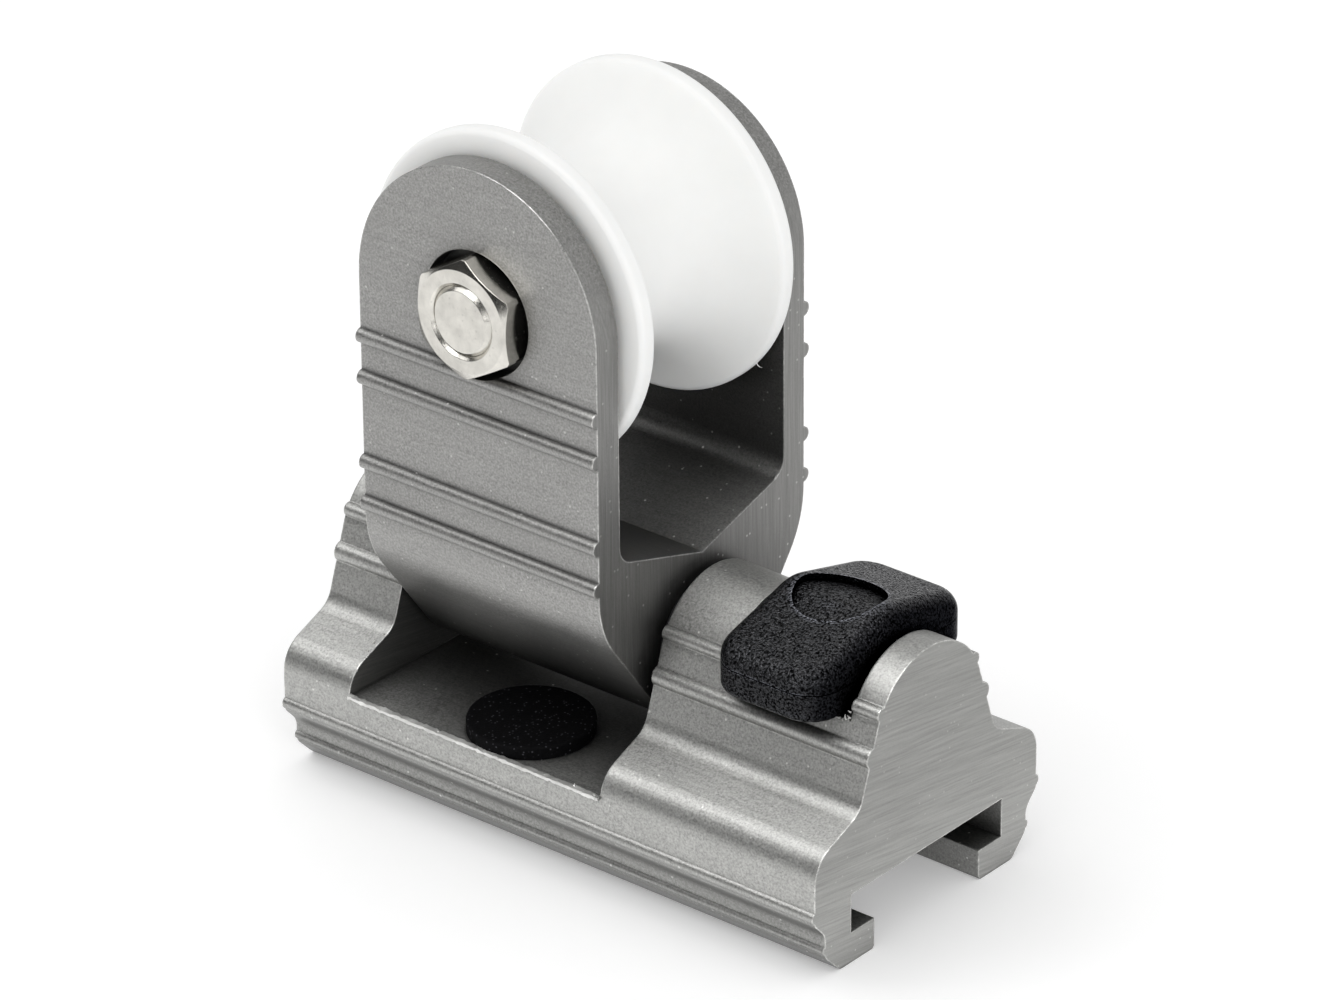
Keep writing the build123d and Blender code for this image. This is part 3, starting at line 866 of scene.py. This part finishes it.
class GENOA_OT_spring(Operator):
    """Wind the plunger's spring as a coil, with fewer faces than the CAD one has"""

    bl_idname = "genoa.spring"
    bl_label = "Spring"

    wire_sides = 12
    steps_per_turn = 40
    smooth_angle = math.radians(50)

    def execute(self, context):
        parts = context.scene.genoa_parts
        low, high = (Vector(corner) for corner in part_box("plunger_spring"))
        wire = parts.spring_wire
        coil = self.wind(parts, (high.x - low.x - wire) / 2, high.z - low.z - wire)
        coil.location = ((low.x + high.x) / 2, (low.y + high.y) / 2, low.z + wire / 2)
        bpy.ops.object.transform_apply(location=True, rotation=True, scale=True)
        bpy.ops.object.shade_smooth_by_angle(angle=self.smooth_angle)
        coil.data.materials.append(bpy.data.materials["spring_stainless"])
        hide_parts("plunger_spring")
        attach(coil, "slider")
        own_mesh(coil)
        return {"FINISHED"}

    def wind(self, parts, reach, rise):
        """Wire section turned round the upright axis, with closed ends."""
        bpy.ops.object.select_all(action="DESELECT")
        bpy.ops.mesh.primitive_circle_add(
            vertices=self.wire_sides,
            radius=parts.spring_wire / 2,
            location=(reach, 0, 0),
            rotation=(math.pi / 2, 0, 0),
        )
        coil = bpy.context.object
        coil.name = "plunger_spring_coil"
        bpy.ops.object.transform_apply(location=True, rotation=True, scale=True)
        screw = coil.modifiers.new("turns", "SCREW")
        screw.axis = "Z"
        screw.iterations = parts.spring_turns
        screw.screw_offset = rise / parts.spring_turns
        screw.steps = screw.render_steps = self.steps_per_turn
        bpy.ops.object.modifier_apply(modifier=screw.name)
        bpy.ops.object.mode_set(mode="EDIT")
        bpy.ops.mesh.select_all(action="SELECT")
        bpy.ops.mesh.remove_doubles(threshold=0.001 * MM)
        bpy.ops.mesh.fill_holes(sides=0)
        bpy.ops.mesh.select_all(action="SELECT")
        bpy.ops.mesh.normals_make_consistent(inside=False)
        bpy.ops.object.mode_set(mode="OBJECT")
        return coil


class GENOA_OT_burrs(Operator):
    """Add the burrs at the slot, the post and the pocket, and the sheave's loose shaving"""

    bl_idname = "genoa.burrs"
    bl_label = "Burrs"

    chip_sides = 7
    # Radius of a chip's stump at its root and its end, and its depth, as shares of its size
    stump_radii = (0.5, 0.38)
    stump_depth = 0.4
    # Length of each stretch beyond the stump and how it narrows, and how a chip starts to curl
    stretches = ((0.3, 0.7), (0.3, 0.45))
    first_curl = Vector((0.25, 0.15, 0.35))
    smooth_angle = math.radians(40)
    # Start, end, edge and height of the ridge in millimetres, and its width in burr widths
    ridge_line = (-27.6, 8.0, -19.2, 12.15)
    ridge_width = 2.3
    ridge_cuts = 90
    ridge_raggedness = 0.18
    ridge_seed = 5
    torn_roughness = 0.42

    # Root of each chip in millimetres, the way it points, its length and its width as shares
    slot_chips = (
        ((31.9, -8.7, 25.98), (0.3, -1.0, 0.12), 0.9, 1.0),
        ((32.35, -8.7, 25.97), (-0.5, -1.0, 0.1), 0.7, 1.0),
        ((32.8, -8.7, 25.98), (0.2, -0.8, 0.14), 1.0, 1.1),
        ((33.15, -8.68, 26.0), (-0.3, -0.5, 1.0), 0.8, 1.0),
        ((33.45, -8.68, 26.0), (0.3, -0.7, 0.8), 0.95, 1.0),
        ((33.68, -8.66, 26.3), (-1.0, -0.5, 0.4), 0.6, 0.8),
        ((33.7, -8.62, 27.0), (-1.0, -0.6, 0.2), 0.45, 0.7),
    )
    pocket_chips = (
        ((-26.2, -19.06, 12.1), (0.4, -0.6, 0.7), 0.3, 1.0),
        ((-21.4, -19.06, 12.1), (-0.5, -0.5, 0.7), 0.25, 1.2),
        ((-14.9, -19.06, 12.1), (0.6, -0.5, 0.6), 0.3, 1.1),
        ((-6.3, -19.06, 12.1), (-0.4, -0.6, 0.7), 0.28, 1.0),
        ((0.2, -19.06, 12.1), (0.5, -0.4, 0.8), 0.3, 1.2),
        ((4.3, -19.0, 12.1), (0.2, -0.1, 1.0), 0.55, 1.1),
        ((5.6, -19.06, 12.1), (0.8, -0.5, 0.6), 0.4, 1.0),
        ((7.4, -19.06, 12.1), (-0.7, -0.5, 0.6), 0.35, 1.1),
    )
    post_chips = (
        ((-27.68, -15.9, 16.4), (0.6, -0.7, 0.4), 0.35, 1.0),
        ((-27.68, -14.9, 17.0), (0.5, -0.5, 0.7), 0.55, 1.2),
        ((-27.68, -13.2, 17.35), (0.7, -0.3, 0.6), 0.35, 1.0),
        ((-27.68, -17.8, 14.75), (0.7, -0.7, 0.2), 0.3, 0.9),
    )
    sheave_chips = (((4.45, 11.75, 50.9), (0.55, 0.0, -0.85), 1.1, 0.45),)

    def execute(self, context):
        parts = context.scene.genoa_parts
        colour = context.scene.genoa_metal.bare_colour
        bare = polished_steel("bare_aluminium", colour, self.torn_roughness)
        acetal = bpy.data.materials["sheave_acetal"]
        for name, chips, material, body, slot in (
            ("slot_burrs", self.slot_chips, bare, "slider", "body_aluminium"),
            ("pocket_burrs", self.pocket_chips, bare, "slider", "body_aluminium"),
            ("post_burrs", self.post_chips, bare, "slider", "body_aluminium"),
            ("sheave_shaving", self.sheave_chips, acetal, "sheave", "sheave_acetal"),
        ):
            drawn = [self.pull(parts, *chip) for chip in chips]
            if name == "pocket_burrs":
                drawn.append(self.draw_ridge(parts))
            piece = self.join_as(name, drawn)
            piece.data.materials.append(material)
            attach(piece, body)
        return {"FINISHED"}

    def join_as(self, name, chips):
        """Joins chips to one named piece with its place in its mesh."""
        bpy.ops.object.select_all(action="DESELECT")
        for chip in chips:
            chip.select_set(True)
        bpy.context.view_layer.objects.active = chips[0]
        if len(chips) > 1:
            bpy.ops.object.join()
        piece = bpy.context.object
        piece.name = name
        bpy.ops.object.transform_apply(location=True, rotation=True, scale=True)
        bpy.ops.object.shade_smooth_by_angle(angle=self.smooth_angle)
        return piece

    def pull(self, parts, root, way, length_share, width_share):
        """Chip that is drawn out and curled towards its tip."""
        way = Vector(way).normalized()
        length = length_share * parts.burr_length
        width = width_share * parts.burr_width
        root_radius, end_radius = (share * width for share in self.stump_radii)
        depth = self.stump_depth * length
        bpy.ops.object.select_all(action="DESELECT")
        bpy.ops.mesh.primitive_cone_add(
            vertices=self.chip_sides,
            radius1=root_radius,
            radius2=end_radius,
            depth=depth,
            location=Vector(root) * MM + depth / 2 * way,
            rotation=way.to_track_quat("Z", "Y").to_euler(),
        )
        chip = bpy.context.object
        bpy.ops.object.transform_apply(location=True, rotation=True, scale=True)
        bpy.ops.object.mode_set(mode="EDIT")
        bpy.ops.mesh.select_mode(type="FACE")
        bpy.ops.mesh.select_all(action="DESELECT")
        bpy.ops.object.mode_set(mode="OBJECT")
        tip = max(chip.data.polygons, key=lambda face: face.center.dot(way))
        tip.select = True
        bpy.ops.object.mode_set(mode="EDIT")
        curl = self.first_curl
        for share, narrowing in self.stretches:
            step = (share * length) * (way + curl).normalized()
            bpy.ops.mesh.extrude_region_move(TRANSFORM_OT_translate={"value": step})
            bpy.ops.transform.resize(value=(narrowing, narrowing, narrowing))
            curl = 2 * curl
        bpy.ops.object.mode_set(mode="OBJECT")
        return chip

    def draw_ridge(self, parts):
        """Ragged ridge that the cutter raised along the pocket's near edge."""
        start, end, edge, floor = (value * MM for value in self.ridge_line)
        width = self.ridge_width * parts.burr_width
        bpy.ops.object.select_all(action="DESELECT")
        bpy.ops.mesh.primitive_cube_add(
            size=1,
            location=((start + end) / 2, edge, floor),
            scale=(end - start, width, 0.5 * width),
        )
        ridge = bpy.context.object
        bpy.ops.object.transform_apply(location=True, rotation=True, scale=True)
        bpy.ops.object.mode_set(mode="EDIT")
        bpy.ops.mesh.select_mode(type="EDGE")
        bpy.ops.mesh.select_all(action="DESELECT")
        bpy.ops.object.mode_set(mode="OBJECT")
        corners = ridge.data.vertices
        for line in ridge.data.edges:
            first, last = (corners[index].co for index in line.vertices)
            line.select = abs(first.x - last.x) > width
        bpy.ops.object.mode_set(mode="EDIT")
        bpy.ops.mesh.subdivide(number_cuts=self.ridge_cuts)
        bpy.ops.mesh.select_all(action="SELECT")
        bpy.ops.transform.vertex_random(
            offset=self.ridge_raggedness * width, seed=self.ridge_seed
        )
        bpy.ops.mesh.normals_make_consistent(inside=False)
        bpy.ops.object.mode_set(mode="OBJECT")
        return ridge


class GENOA_OT_sheave(Operator):
    """Finish the sheave and its washers"""

    bl_idname = "genoa.sheave"
    bl_label = "Sheave"

    def execute(self, context):
        plastic = context.scene.genoa_plastic
        dress(["sheave"], white_acetal("sheave_acetal", plastic.sheave_colour))
        dress(
            ["sheave_washer_near", "sheave_washer_far"],
            turned_plastic("washer_nylon", plastic.washer_colour),
        )
        return {"FINISHED"}


class GENOA_OT_plunger(Operator):
    """Finish the plunger's knob, its guide and the pivot bushes"""

    bl_idname = "genoa.plunger"
    bl_label = "Plunger"

    def execute(self, context):
        plastic = context.scene.genoa_plastic
        dress(["plunger_knob"], moulded_plastic("knob_plastic", plastic.knob_colour, 0.13 * MM))
        dress(
            ["plunger_guide", "pivot_bush_minus", "pivot_bush_plus"],
            turned_plastic("bush_acetal", plastic.bush_colour),
        )
        return {"FINISHED"}


class GENOA_OT_pads(Operator):
    """Finish the rubber bump-stop pads"""

    bl_idname = "genoa.pads"
    bl_label = "Pads"

    def execute(self, context):
        plastic = context.scene.genoa_plastic
        dress(
            ["rubber_pad_near", "rubber_pad_far"],
            sheet_rubber("pad_rubber", plastic.rubber_colour),
        )
        return {"FINISHED"}


def add_soft_lamp(name, place, target, size, power):
    """Square soft lamp that looks at a point."""
    lamp = bpy.data.lights.new(name, "AREA")
    lamp.shape = "SQUARE"
    lamp.size = size
    lamp.energy = power
    holder = bpy.data.objects.new(name, lamp)
    bpy.context.scene.collection.objects.link(holder)
    holder.location = place
    holder.rotation_euler = (Vector(target) - Vector(place)).to_track_quat("-Z", "Y").to_euler()


def glowing_material(name):
    """Material that only gives light, with its Emission node."""
    material = bpy.data.materials.new(name)
    material.use_nodes = True
    tree = material.node_tree
    tree.nodes.remove(tree.nodes["Principled BSDF"])
    glow = add_node(tree, "ShaderNodeEmission")
    tree.links.new(glow.outputs[0], tree.nodes["Material Output"].inputs["Surface"])
    return material, glow


def keep_to_reflections(card):
    """Marks a card of the studio that shows only in what the object reflects."""
    card.visible_camera = False
    card.visible_diffuse = False
    card.visible_shadow = False
    card.visible_transmission = False


def seen_share(tree):
    """One where the floor or the sky is seen directly, in a mirror or through glass."""
    path = add_node(tree, "ShaderNodeLightPath")
    share = math_node(
        tree, "MAXIMUM", path.outputs["Is Camera Ray"], path.outputs["Is Glossy Ray"]
    )
    return math_node(tree, "MAXIMUM", share, path.outputs["Is Transmission Ray"])


class GENOA_OT_studio(Operator):
    """Set up the floor, the sky, the lamps and the camera"""

    bl_idname = "genoa.studio"
    bl_label = "Studio"

    middle = (0.0, 0.0, 40 * MM)
    key_place = (-0.46, -0.2, 0.64)
    fill_place = (0.75, -0.5, 0.35)
    lamp_size = 0.5
    # The glow round the foot is full up to the first distance, and gone at the second
    foot_reach = (45 * MM, 110 * MM)
    # Where the ring of cards has its near grey and its far grey, as shares of its radius
    card_span = (-0.4, 0.6)
    card_sides = 48
    apron_place = (0.345, 0.25, 1 * MM)
    apron_side = 0.6
    clip_range = (0.01, 20.0)
    sensor_width = 36.0

    def execute(self, context):
        studio = context.scene.genoa_studio
        self.add_floor(studio)
        self.add_cards(studio)
        self.add_softbox(studio)
        self.set_sky(context.scene, studio)
        for name, place, power in (
            ("key_lamp", self.key_place, studio.key_power),
            ("fill_lamp", self.fill_place, studio.fill_power),
        ):
            add_soft_lamp(name, place, self.middle, self.lamp_size, power)
        self.add_camera(context.scene, studio)
        context.scene.view_settings.view_transform = "Standard"
        return {"FINISHED"}

    def add_floor(self, studio):
        """Pale paper that lights itself a little where it is seen, and more round the foot."""
        bpy.ops.object.select_all(action="DESELECT")
        bpy.ops.mesh.primitive_plane_add(size=studio.floor_size)
        floor = bpy.context.object
        floor.name = "floor"
        material, tree, shader = start_material("floor_paper")
        colour = studio.floor_colour
        grain = grain_value(tree, 2 * MM)
        tone = mix_colour(tree, grain, shade_of(colour, 0.995), colour)
        tree.links.new(tone, shader.inputs["Base Color"])
        fill_inputs(
            tree, shader, {"Roughness": 1.0, "Specular IOR Level": 0.0, "Emission Strength": 1.0}
        )
        seen_glow = product(tree, seen_share(tree), studio.floor_glow)
        place = add_node(tree, "ShaderNodeTexCoord").outputs["Object"]
        reach = add_node(
            tree, "ShaderNodeVectorMath", {0: place}, operation="LENGTH"
        ).outputs["Value"]
        foot_glow = range_node(tree, reach, *self.foot_reach, studio.foot_glow, 0.0)
        glossy = add_node(tree, "ShaderNodeLightPath").outputs["Is Glossy Ray"]
        foot_glow = product(tree, glossy, foot_glow)
        glow = math_node(tree, "ADD", seen_glow, foot_glow)
        tree.links.new(glow, shader.inputs["Emission Color"])
        floor.data.materials.append(material)

    def add_cards(self, studio):
        """Ring of cards, ceiling and apron, which only the reflections show."""
        bpy.ops.object.select_all(action="DESELECT")
        radius = studio.card_radius
        bpy.ops.mesh.primitive_cylinder_add(
            vertices=self.card_sides,
            radius=radius,
            depth=studio.card_height,
            end_fill_type="NOTHING",
            location=(0, 0, studio.card_height / 2),
        )
        cards = bpy.context.object
        cards.name = "horizon_cards"
        material, glow = glowing_material("card_grey")
        tree = material.node_tree
        place = add_node(tree, "ShaderNodeTexCoord").outputs["Object"]
        across = add_node(tree, "ShaderNodeSeparateXYZ", {"Vector": place}).outputs["Y"]
        start, end = (share * radius for share in self.card_span)
        level = range_node(tree, across, start, end, *studio.card_levels)
        tree.links.new(level, glow.inputs["Color"])
        cards.data.materials.append(material)
        keep_to_reflections(cards)
        self.add_plain_card(
            "ceiling_card", 2 * radius, (0, 0, studio.card_height), studio.ceiling_level
        )
        self.add_plain_card("apron_card", self.apron_side, self.apron_place, studio.apron_level)

    def add_plain_card(self, name, side, place, level):
        """Level square card in one grey."""
        bpy.ops.object.select_all(action="DESELECT")
        bpy.ops.mesh.primitive_plane_add(size=side, location=place)
        card = bpy.context.object
        card.name = name
        material, glow = glowing_material(f"{name}_grey")
        glow.inputs["Color"].default_value = (level, level, level, 1.0)
        card.data.materials.append(material)
        keep_to_reflections(card)

    def add_softbox(self, studio):
        """Bright card overhead that turns its face to the object."""
        bpy.ops.object.select_all(action="DESELECT")
        place = Vector(studio.softbox_place)
        turn = place.to_track_quat("Z", "Y").to_euler()
        bpy.ops.mesh.primitive_plane_add(size=studio.softbox_size, location=place, rotation=turn)
        softbox = bpy.context.object
        softbox.name = "overhead_softbox"
        material, glow = glowing_material("softbox_white")
        glow.inputs["Strength"].default_value = studio.softbox_level
        softbox.data.materials.append(material)
        keep_to_reflections(softbox)

    def set_sky(self, scene, studio):
        """Even light from all round, and plain white where the sky itself is seen."""
        world = bpy.data.worlds.new("studio_sky")
        world.use_nodes = True
        scene.world = world
        tree = world.node_tree
        background = tree.nodes["Background"]
        level = studio.sky_strength
        colour = mix_colour(tree, seen_share(tree), (level, level, level), (1.0, 1.0, 1.0))
        tree.links.new(colour, background.inputs["Color"])

    def add_camera(self, scene, studio):
        """The photograph's own camera."""
        data = bpy.data.cameras.new("photo_camera")
        data.lens = studio.camera_lens
        data.sensor_width = self.sensor_width
        data.shift_x, data.shift_y = studio.camera_shift
        data.clip_start, data.clip_end = self.clip_range
        camera = bpy.data.objects.new("photo_camera", data)
        scene.collection.objects.link(camera)
        turn = Matrix.Rotation(studio.camera_azimuth, 4, "Z")
        tilt = Matrix.Rotation(math.pi / 2 - studio.camera_elevation, 4, "X")
        roll = Matrix.Rotation(studio.camera_roll, 4, "Z")
        camera.matrix_world = Matrix.Translation(studio.camera_place) @ turn @ tilt @ roll
        scene.camera = camera


class GENOA_PT_panel(Panel):
    """Lists the steps that dress the genoa car"""

    bl_label = "Genoa Car"
    bl_idname = "GENOA_PT_panel"
    bl_space_type = "VIEW_3D"
    bl_region_type = "UI"
    bl_category = "Genoa Car"

    def draw(self, context):
        for step in STEPS:
            self.layout.operator(step.bl_idname)
        for name in SETTINGS:
            settings = getattr(context.scene, name)
            box = self.layout.box()
            for key in settings.__annotations__:
                box.prop(settings, key)


SETTINGS = {
    "genoa_metal": GenoaCarMetal,
    "genoa_plastic": GenoaCarPlastic,
    "genoa_parts": GenoaCarParts,
    "genoa_studio": GenoaCarStudio,
}
STEPS = (
    GENOA_OT_textures,
    GENOA_OT_extrusions,
    GENOA_OT_fasteners,
    GENOA_OT_spring,
    GENOA_OT_sheave,
    GENOA_OT_burrs,
    GENOA_OT_plunger,
    GENOA_OT_pads,
    GENOA_OT_studio,
)


def register():
    for kind in (*SETTINGS.values(), *STEPS, GENOA_PT_panel):
        bpy.utils.register_class(kind)
    for name, kind in SETTINGS.items():
        setattr(bpy.types.Scene, name, PointerProperty(type=kind))


def unregister():
    for name in SETTINGS:
        delattr(bpy.types.Scene, name)
    for kind in (GENOA_PT_panel, *reversed(STEPS), *reversed(SETTINGS.values())):
        bpy.utils.unregister_class(kind)


def main():
    """Registers the classes and runs each step."""
    register()
    for step in STEPS:
        family, name = step.bl_idname.split(".")
        getattr(getattr(bpy.ops, family), name)()


if __name__ == "__main__":
    main()
